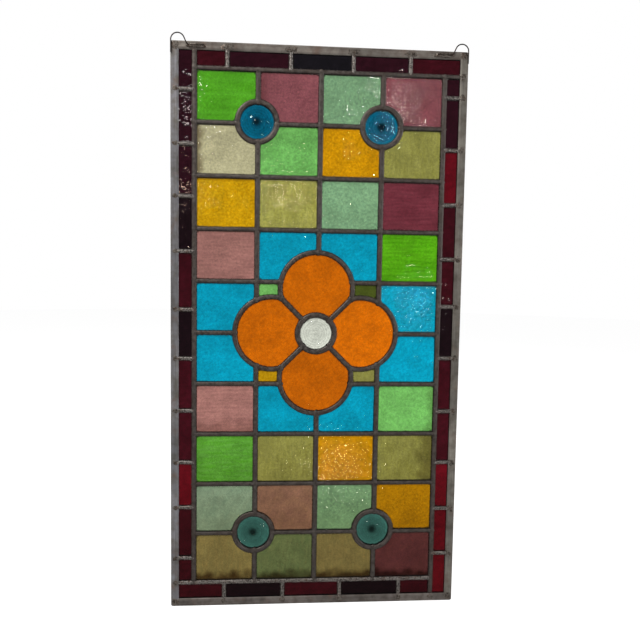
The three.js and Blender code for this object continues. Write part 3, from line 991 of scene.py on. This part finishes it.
def add_round_leads(shells):
    cx, cz, centre_radius = CENTRE_RING
    for number, (x, z, radius) in enumerate([CENTRE_RING] + list(CORNER_RINGS.values())):
        path = arc(x, z, radius, full_turn(64))
        made = sweep(came_section(RONDEL_LEAD), path, uneven(5200 + number, 0.03), closed=True)
        shells["ring"].add(*made)
    for number, side in enumerate(PETALS):
        x, z, radius = PETAL_RINGS[side]
        offset = math.hypot(x - cx, z - cz)
        crossing = (offset + math.sqrt(2 * radius * radius - offset * offset)) / 2
        half_turn = math.atan2(crossing, crossing - offset)
        facing = math.atan2(z - cz, x - cx)
        turns = np.linspace(facing - half_turn, facing + half_turn, 60)
        path = arc(x, z, radius, turns)
        kind = "petal_level" if side in ("left", "right") else "petal_upright"
        shells[kind].add(*sweep(came_section(PETAL_LEAD), path, uneven(5300 + number, 0.03)))
        diagonal = facing + math.pi / 4
        reach = crossing * math.sqrt(2)
        ends = [arc(cx, cz, d, [diagonal])[0] for d in (centre_radius, reach)]
        path = run_path(*ends, 4 * MM)
        shells["diagonal"].add(*sweep(came_section(PETAL_LEAD), path, uneven(5400 + number, 0.03)))


def lumpy(seed, lumps):
    """A cross-lead flooded with solder: it swells and pinches in lumps."""
    rng = np.random.default_rng(seed)
    phase, pace = rng.uniform(0, 6.28), rng.uniform(1.2, 1.9)

    def swell(i, k, across, deep):
        beat = math.sin(phase + i * pace) * 0.5 + math.sin(phase * 2 + i * pace * 1.7 + k * 0.3) * 0.5
        grow = 1 + lumps * beat
        top = max(0.0, abs(deep) - CHANNEL) * min(1 + 0.6 * lumps * beat + 0.08, 1.12)
        kept = math.copysign(min(abs(deep), CHANNEL), deep)
        side = across * grow if abs(across) > HEART else across
        return side, kept + math.copysign(top, deep)

    return swell


def add_cross_leads(shells):
    seed = 5500
    rng = np.random.default_rng(seed)
    field_x, field_z = COLUMN_X[-1], ROW_Z[0] - CENTRE.z
    for side, cuts in BORDER_CUTS.items():
        level = side in ("top", "bottom")
        sign = 1 if side in ("top", "right") else -1
        for at in cuts:
            seed += 1
            lean = rng.uniform(-0.35, 0.35) * MM
            if level:
                start = (at * MM - lean, CENTRE.z + sign * field_z)
                end = (at * MM + lean, CENTRE.z + sign * (INNER_Z + 1.5 * MM))
            else:
                start = (sign * field_x, CENTRE.z + at * MM - lean)
                end = (sign * (INNER_X + 1.5 * MM), CENTRE.z + at * MM + lean)
            path = run_path(start, end, 1.2 * MM)
            made = sweep(came_section(CROSS_LEAD), path, lumpy(seed, 0.1))
            shells["cross"].add(*made, kind=1)


# ---- solder ---------------------------------------------------------------------------------------

PAD_TURN = 20
PAD_RINGS = 4
PAD_SUNK = 0.6 * MM


def solder_pad(x, z, reach, face, foot, crown, seed):
    """A closed cap of solder lying on one face, face -1 in front and 1 behind."""
    rng = np.random.default_rng(seed)
    phases = rng.uniform(0, 2 * math.pi, 3)
    reach_x, reach_z = rng.uniform(0.88, 1.05) * reach, rng.uniform(0.88, 1.05) * reach
    vertices = [(x, MID_Y + face * crown, z)]
    for ring in range(1, PAD_RINGS + 1):
        share = math.sin(math.pi / 2 * ring / PAD_RINGS)
        for k in range(PAD_TURN):
            a = 2 * math.pi * k / PAD_TURN
            wobble = 1 + 0.07 * math.sin(2 * a + phases[0]) + 0.06 * math.sin(3 * a + phases[1])
            u = reach_x * share * wobble * math.cos(a)
            v = reach_z * share * wobble * math.sin(a)
            level = foot + (crown - foot) * math.sqrt(max(0.0, 1 - share * share)) * (
                1 + 0.1 * math.sin(a * 2 + phases[2]) * share
            )
            vertices.append((x + u, MID_Y + face * level, z + v))
    under = len(vertices)
    last = under - PAD_TURN
    sunk = MID_Y + face * (foot - PAD_SUNK)
    vertices += [(px, sunk, pz) for px, _, pz in vertices[last:]]
    faces = disc_faces(0, PAD_RINGS, PAD_TURN) + rim_faces(last, under, PAD_TURN)
    faces.append(tuple(under + k for k in reversed(range(PAD_TURN))))
    return vertices, flipped(faces) if face > 0 else faces


def lead_joints():
    """Where leads meet in the field: (x, z, reach)."""
    joints = []
    for x in COLUMN_X:
        for z in ROW_Z:
            if all(math.hypot(x - cx, z - cz) > r + 1 * MM for cx, cz, r in ROUND_CUTS):
                edge = x in (COLUMN_X[0], COLUMN_X[-1]) or z in (ROW_Z[0], ROW_Z[-1])
                joints.append((x, z, (3.5 if edge else 4.1) * MM))
    for i, x in enumerate(COLUMN_X):
        for a, b in free_runs(x, ROW_Z[-1], ROW_Z[0], "z"):
            joints += [(x, end, 4.2 * MM) for end in (a, b) if end not in (ROW_Z[-1], ROW_Z[0])]
    for j, z in enumerate(ROW_Z):
        for a, b in free_runs(z, COLUMN_X[0], COLUMN_X[-1], "x"):
            joints += [(end, z, 4.0 * MM) for end in (a, b) if end not in (COLUMN_X[0], COLUMN_X[-1])]
    cx, cz, centre_radius = CENTRE_RING
    for k in range(4):
        diagonal = math.pi / 4 + k * math.pi / 2
        x, z, radius = PETAL_RINGS["right"]
        offset = x - cx
        reach = (offset + math.sqrt(2 * radius * radius - offset * offset)) / math.sqrt(2)
        for distance in (centre_radius, reach):
            joints.append((*arc(cx, cz, distance, [diagonal])[0], 4.2 * MM))
    return joints


def add_joint_solder(shells):
    crown = HALF_LEAD_DEPTH + 0.12 * MM
    for number, (x, z, reach) in enumerate(lead_joints()):
        for face in (-1, 1):
            seed = 6000 + 2 * number + (face > 0)
            made = solder_pad(x, z, reach, face, CHANNEL + 0.25 * MM, crown, seed)
            shells["front_pads" if face < 0 else "back_pads"].add(*made)


def mesh_object(name, shells):
    mesh = new_mesh(name, shells.vertices, shells.faces, (CAME, SOLDER_AND_HIGHLIGHT))
    mesh.polygons.foreach_set("material_index", shells.kinds)
    return linked(name, mesh)


def weld(base, other):
    """Joins another closed mesh into base, as one surface."""
    modifier = base.modifiers.new("weld", "BOOLEAN")
    modifier.operation = "UNION"
    modifier.solver = "MANIFOLD"
    modifier.object = other
    graph = bpy.context.evaluated_depsgraph_get()
    made = bpy.data.meshes.new_from_object(base.evaluated_get(graph))
    base.modifiers.clear()
    base.data = made
    bpy.data.objects.remove(other)


def add_lattice():
    kinds = ("upright", "level", "ring", "petal_level", "petal_upright", "diagonal", "cross")
    shells = {kind: Shells() for kind in kinds + ("front_pads", "back_pads")}
    add_straight_leads(shells)
    add_round_leads(shells)
    add_cross_leads(shells)
    add_joint_solder(shells)
    whole = mesh_object("lead_lattice_net", shells["upright"])
    for kind in list(shells)[1:]:
        weld(whole, mesh_object(kind, shells[kind]))
    dress(whole, ["lead_lattice"], 50)


# ---- frame ----------------------------------------------------------------------------------------

CORNER_ROUND = 2.5 * MM


def frame_section():
    """The frame's section: (inwards, deep) points, its edges eased and its lip sloped."""
    deep, ease = HALF_FRAME_DEPTH, 1.0 * MM
    lip = FRAME_FACE - FRAME_LIP
    bow = 0.12 * MM
    edge = [(ease * (1 - math.sin(a)), deep - ease * (1 - math.cos(a))) for a in np.linspace(0, math.pi / 2, 4)]
    edge = edge[::-1]
    face = edge + [
        (2.6 * MM, deep - bow),
        (4.4 * MM, deep - 1.6 * bow),
        (6.2 * MM, deep - bow),
        (lip - 0.3 * MM, deep),
        (lip + 0.4 * MM, deep - 0.12 * MM),
        (lip + 1.6 * MM, deep - 0.45 * FRAME_LIP_DROP),
        (FRAME_FACE - 0.2 * MM, deep - FRAME_LIP_DROP),
        (FRAME_FACE, deep - FRAME_LIP_DROP - 0.25 * MM),
    ]
    half = face + [(FRAME_FACE, CHANNEL), (FRAME_WEB, CHANNEL)]
    return half + [(s, -d) for s, d in reversed(half)]


def rounded(x, z):
    """A place in the frame, with the panel's four outer corners rounded off."""
    u = abs(x) - (HALF_WIDTH - CORNER_ROUND)
    v = abs(z - CENTRE.z) - (HALF_HEIGHT - CORNER_ROUND)
    if u <= 0 or v <= 0:
        return x, z
    share = max(u, v) / math.hypot(u, v)
    sign_z = 1 if z > CENTRE.z else -1
    return (
        math.copysign(HALF_WIDTH - CORNER_ROUND + u * share, x),
        CENTRE.z + sign_z * (HALF_HEIGHT - CORNER_ROUND + v * share),
    )


def frame_side(side, seed):
    section = frame_section()
    upright = side in ("left", "right")
    half_length = HALF_HEIGHT if upright else HALF_WIDTH
    fine = [0, 0.5, 1.2, 2, 3, 4.5, 6.5, 9, 12]
    middles = list(np.arange(16, 2 * half_length / MM - 15, 7))
    stops = np.array(fine + middles + [2 * half_length / MM - f for f in reversed(fine)]) * MM - half_length
    seam = 0.06 * MM
    mitre = 14 * MM
    wave = ripple(stops, stops * 0, 40 * MM, 1, seed) * 0.12 * MM
    vertices = []
    for i, stop in enumerate(stops):
        for inwards, deep in section:
            from_end = half_length - abs(stop)
            cut = max(0.0, 1 - from_end / mitre) * (inwards + seam)
            along = math.copysign(half_length - from_end - cut, stop)
            inset = inwards + max(0.0, wave[i]) * (1 - inwards / FRAME_FACE)
            if upright:
                x = (HALF_WIDTH - inset) * (1 if side == "right" else -1)
                z = CENTRE.z + along
            else:
                x = along
                z = CENTRE.z + (HALF_HEIGHT - inset) * (1 if side == "top" else -1)
            x, z = rounded(x, z)
            vertices.append((x, MID_Y - deep, z))
    faces = tube_faces(len(section), len(stops))
    return vertices, faces if side in ("left", "top") else flipped(faces)


FRAME_TONES = {
    "left": ("#86858a", "#68645f"),
    "top": ("#7c766f", "#5a5049"),
    "right": ("#837e76", "#625b52"),
    "bottom": ("#716a65", "#524a45"),
}


def add_frame():
    for number, side in enumerate(SIDES):
        light, dark = FRAME_TONES[side]
        lengthways = "z" if side in ("left", "right") else "x"
        material = frame_material(f"frame_lead_{side}", light, dark, lengthways)
        vertices, faces = frame_side(side, 7000 + number)
        add_piece(f"frame_{side}", vertices, faces, material, [f"frame_{side}"])


def face_level(x, z):
    """How far the front of the frame, or of a lead inside it, is from the middle plane."""
    inwards = min(HALF_WIDTH - abs(x), HALF_HEIGHT - abs(z - CENTRE.z))
    lip = FRAME_FACE - FRAME_LIP
    stops = [0, 0.3 * MM, 1 * MM, lip, FRAME_FACE, FRAME_FACE + 0.6 * MM]
    levels = [
        HALF_FRAME_DEPTH - 1.0 * MM,
        HALF_FRAME_DEPTH - 0.3 * MM,
        HALF_FRAME_DEPTH,
        HALF_FRAME_DEPTH,
        HALF_FRAME_DEPTH - FRAME_LIP_DROP,
        HALF_LEAD_DEPTH - 0.5 * MM,
    ]
    return float(np.interp(inwards, stops, levels))


PATCH_TURN = 28
PATCH_RINGS = 6


def solder_patch(x, z, reach_x, reach_z, rise, seed, wild=0.16):
    """A thin spill of solder that follows the frame's face, as a closed shell."""
    rng = np.random.default_rng(seed)
    phases = rng.uniform(0, 2 * math.pi, 5)
    limit_x, limit_z = HALF_WIDTH - 0.1 * MM, HALF_HEIGHT - 0.1 * MM
    top, low = [], []
    for ring in range(PATCH_RINGS + 1):
        share = math.sin(math.pi / 2 * ring / PATCH_RINGS)
        for k in range(PATCH_TURN if ring else 1):
            a = 2 * math.pi * k / PATCH_TURN
            reach = 1 + wild * sum(math.sin((n + 2) * a + phases[n]) for n in range(4)) / 2
            px = max(-limit_x, min(limit_x, x + reach_x * share * reach * math.cos(a)))
            pz = z + reach_z * share * reach * math.sin(a)
            pz = CENTRE.z + max(-limit_z, min(limit_z, pz - CENTRE.z))
            lump = 1 + 0.35 * math.sin(3 * a + 5 * share + phases[4]) * share
            level = face_level(px, pz) - 0.08 * MM
            crown = level + rise * lump * (1 - share * share) ** 0.35
            top.append((px, max(CAD_BOX[0][1] + 0.02 * MM, MID_Y - crown), pz))
            low.append((px, MID_Y - level + 0.5 * MM, pz))
    under = len(top)
    last = under - PATCH_TURN
    faces = disc_faces(0, PATCH_RINGS, PATCH_TURN)
    faces += flipped(disc_faces(under, PATCH_RINGS, PATCH_TURN))
    return top + low, faces + rim_faces(last, under + last, PATCH_TURN)


def border_ends():
    """Where the leads of the border meet the frame: (side, x, z)."""
    middle_x, middle_z = HALF_WIDTH - 6.2 * MM, HALF_HEIGHT - 6.2 * MM
    ends = [("left", -middle_x, CENTRE.z + at * MM) for at in BORDER_CUTS["left"]]
    ends += [("right", middle_x, CENTRE.z + at * MM) for at in BORDER_CUTS["right"]]
    ends += [("top", at * MM, CENTRE.z + middle_z) for at in BORDER_CUTS["top"]]
    ends += [("bottom", at * MM, CENTRE.z - middle_z) for at in BORDER_CUTS["bottom"]]
    ends += [("top", COLUMN_X[0], CENTRE.z + middle_z), ("right", middle_x, ROW_Z[0])]
    ends += [("bottom", COLUMN_X[-1], CENTRE.z - middle_z), ("left", -middle_x, ROW_Z[-1])]
    return ends


# How far solder has run over the frame beside its joints, in millimetres along and across.
SPILLS = {"left": (3.0, 3.6), "top": (8.5, 3.8), "right": (4.4, 4.0), "bottom": (4.0, 3.4)}


def add_frame_solder():
    """Solder over the frame's joints with the border's leads, its corners and the wires' tails."""
    spilt = {side: Shells() for side in SIDES}
    for number, (side, x, z) in enumerate(border_ends()):
        along, across = (reach * MM for reach in SPILLS[side])
        level = side in ("top", "bottom")
        reach_x, reach_z = (along, across) if level else (across, along)
        spilt[side].add(*solder_patch(x, z, reach_x, reach_z, 0.3 * MM, 7100 + number))
    corner_x, corner_z = HALF_WIDTH - 5.4 * MM, HALF_HEIGHT - 5.4 * MM
    for number, (sign_x, sign_z) in enumerate(((-1, 1), (1, 1), (1, -1), (-1, -1))):
        side = ("top", "right", "bottom", "left")[number]
        x, z = sign_x * corner_x, CENTRE.z + sign_z * corner_z
        spilt[side].add(*solder_patch(x, z, 5.2 * MM, 5.2 * MM, 0.22 * MM, 7200 + number, wild=0.1))
    for sign in (-1, 1):
        x, z = sign * (HALF_WIDTH - 31 * MM), TOP_Z - 5.2 * MM
        spilt["top"].add(*solder_patch(x, z, 13.5 * MM, 3.1 * MM, 1.75 * MM, 7300 + sign, wild=0.12))
    for side, shells in spilt.items():
        add_piece(f"frame_solder_{side}", shells.vertices, shells.faces, SPILT)


# ---- hanging loops --------------------------------------------------------------------------------

WIRE_TURN = 12
LOOP_LEAN = math.radians(25)


def add_loop(side):
    """A bent wire: up beside the frame's outer edge, over, and along its top."""
    low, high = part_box(f"hanging_loop_{side}")
    sign = 1 if side == "right" else -1
    radius = 0.75 * MM
    y = middle(low.y, high.y)
    outer = HALF_WIDTH - radius
    loop = 8.2 * MM
    centre_x, centre_z = outer - loop, TOP_Z + 0.6 * MM
    bend_x = centre_x - loop * math.cos(LOOP_LEAN)
    bend_z = centre_z + loop * math.sin(LOOP_LEAN)
    foot_z = TOP_Z - 5 * MM
    foot_x = bend_x - (bend_z - foot_z) * math.tan(LOOP_LEAN)
    points = run_path((outer, low.z + 0.2 * MM), (outer, centre_z), 2 * MM)[:-1]
    points += arc(centre_x, centre_z, loop, np.linspace(0, math.pi - LOOP_LEAN, 26))
    points += run_path((bend_x, bend_z), (foot_x, foot_z), 2 * MM)[1:-1]
    points += [(foot_x - 1 * MM, foot_z - 0.1 * MM)]
    points += run_path((foot_x - 3 * MM, foot_z), (foot_x - 19.8 * MM, foot_z), 3 * MM)
    points = np.array(points)
    along = unit(np.gradient(points, axis=0))
    vertices = []
    for (px, pz), (ax, az) in zip(points, along):
        for k in range(WIRE_TURN):
            a = 2 * math.pi * k / WIRE_TURN
            across = radius * math.cos(a)
            vertices.append((sign * (px - az * across), y + radius * math.sin(a), pz + ax * across))
    faces = tube_faces(WIRE_TURN, len(points))
    name = f"hanging_loop_{side}"
    add_piece(name, vertices, flipped(faces) if sign > 0 else faces, WIRE, [name])


# ---- stage ----------------------------------------------------------------------------------------

FLOOR_DROP = 0.13
FLOOR_RADIUS = 8.0
FLOOR_GLOW = 0.86
ROOM_LIGHT = 0.5
ROOM_IN_GLOSS = 0.07


def add_floor():
    material = bpy.data.materials.new("floor")
    material.use_nodes = True
    shader = material.node_tree.nodes["Principled BSDF"]
    looks = {"Base Color": (0.25, 0.25, 0.25, 1), "Emission Color": (1, 1, 1, 1), "Roughness": 0.9}
    looks |= {"Emission Strength": FLOOR_GLOW, "Specular IOR Level": 0.1}
    for socket, value in looks.items():
        shader.inputs[socket].default_value = value
    rim = [(x, y, BOTTOM_Z - FLOOR_DROP) for x, y in arc(0, 0, FLOOR_RADIUS, full_turn(96))]
    floor = linked("floor", new_mesh("floor", rim, [range(len(rim))], [material]))
    floor.visible_glossy = False


def add_world():
    """White to the eye and through the glass, dimmer where it lights or mirrors in the metal."""
    world = bpy.data.worlds.new("studio")
    bpy.context.scene.world = world
    world.use_nodes = True
    world.cycles.sampling_method = "NONE"
    tree = world.node_tree
    path = tree.nodes.new("ShaderNodeLightPath").outputs
    rays = {0: path["Is Camera Ray"], 1: path["Is Transmission Ray"]}
    seen = new_node(tree, "Math", "Value", rays, operation="ADD", use_clamp=True)
    tones = {6: (*[ROOM_IN_GLOSS] * 3, 1), 7: (*[ROOM_LIGHT] * 3, 1)}
    room = new_node(tree, "Mix", 2, {0: path["Is Diffuse Ray"], **tones}, data_type="RGBA")
    whole = new_node(tree, "Mix", 2, {0: seen, 6: room, 7: (1, 1, 1, 1)}, data_type="RGBA")
    tree.links.new(whole, tree.nodes["Background"].inputs["Color"])


def add_light(name, place, size, power, colour):
    data = bpy.data.lights.new(name, "AREA")
    data.shape = "DISK"
    data.size = size
    data.energy = power
    data.color = colour
    light = linked(name, data)
    light.location = CENTRE + Vector(place)
    light.rotation_mode = "QUATERNION"
    light.rotation_quaternion = (CENTRE - light.location).to_track_quat("-Z", "Y")
    light.visible_camera = False
    light.visible_transmission = False


# Small bright lamps, each by the place on the panel where the eye would find its mirror image.
LAMPS = {
    "window_left": (-0.160, 0.282, 0.03, 0.16, (1.0, 0.98, 0.95)),
    "lamp_upper": (-0.040, 0.175, 0.03, 0.20, (1.0, 0.84, 0.62)),
    "lamp_top": (0.085, 0.275, 0.04, 0.5, (1.0, 0.97, 0.88)),
    "lamp_right": (0.128, 0.045, 0.03, 0.10, (1.0, 0.97, 0.90)),
    "lamp_low_left": (-0.168, 0.180, 0.02, 0.08, (1.0, 0.78, 0.60)),
    "lamp_low": (0.03, -0.17, 0.04, 0.2, (1.0, 0.92, 0.80)),
}
LAMP_DISTANCE = 2.2


def add_lights():
    add_light("key_front", (-1.5, -1.5, 2.0), 0.7, 75, (1.0, 0.98, 0.95))
    add_light("fill_front", (2.2, -1.2, 0.3), 0.8, 22, (0.95, 0.97, 1.0))
    add_light("key_back", (1.5, 1.5, 2.0), 0.7, 60, (1.0, 0.98, 0.95))
    add_light("fill_back", (-2.2, 1.2, 0.3), 0.8, 18, (0.95, 0.97, 1.0))
    eye = EYE - CENTRE
    for name, (x, z, size, power, colour) in LAMPS.items():
        reach = (LAMP_DISTANCE - eye.y) / -eye.y
        place = (eye.x + (x - eye.x) * reach, -LAMP_DISTANCE, eye.z + (z - eye.z) * reach)
        add_light(name, place, size, power, colour)


# ---- the panel ------------------------------------------------------------------------------------

bpy.context.scene.view_settings.view_transform = "Standard"
add_floor()
add_world()
add_lights()
add_quarries()
add_petals()
add_border()
add_rondels()
add_lattice()
add_frame()
add_frame_solder()
add_loop("left")
add_loop("right")
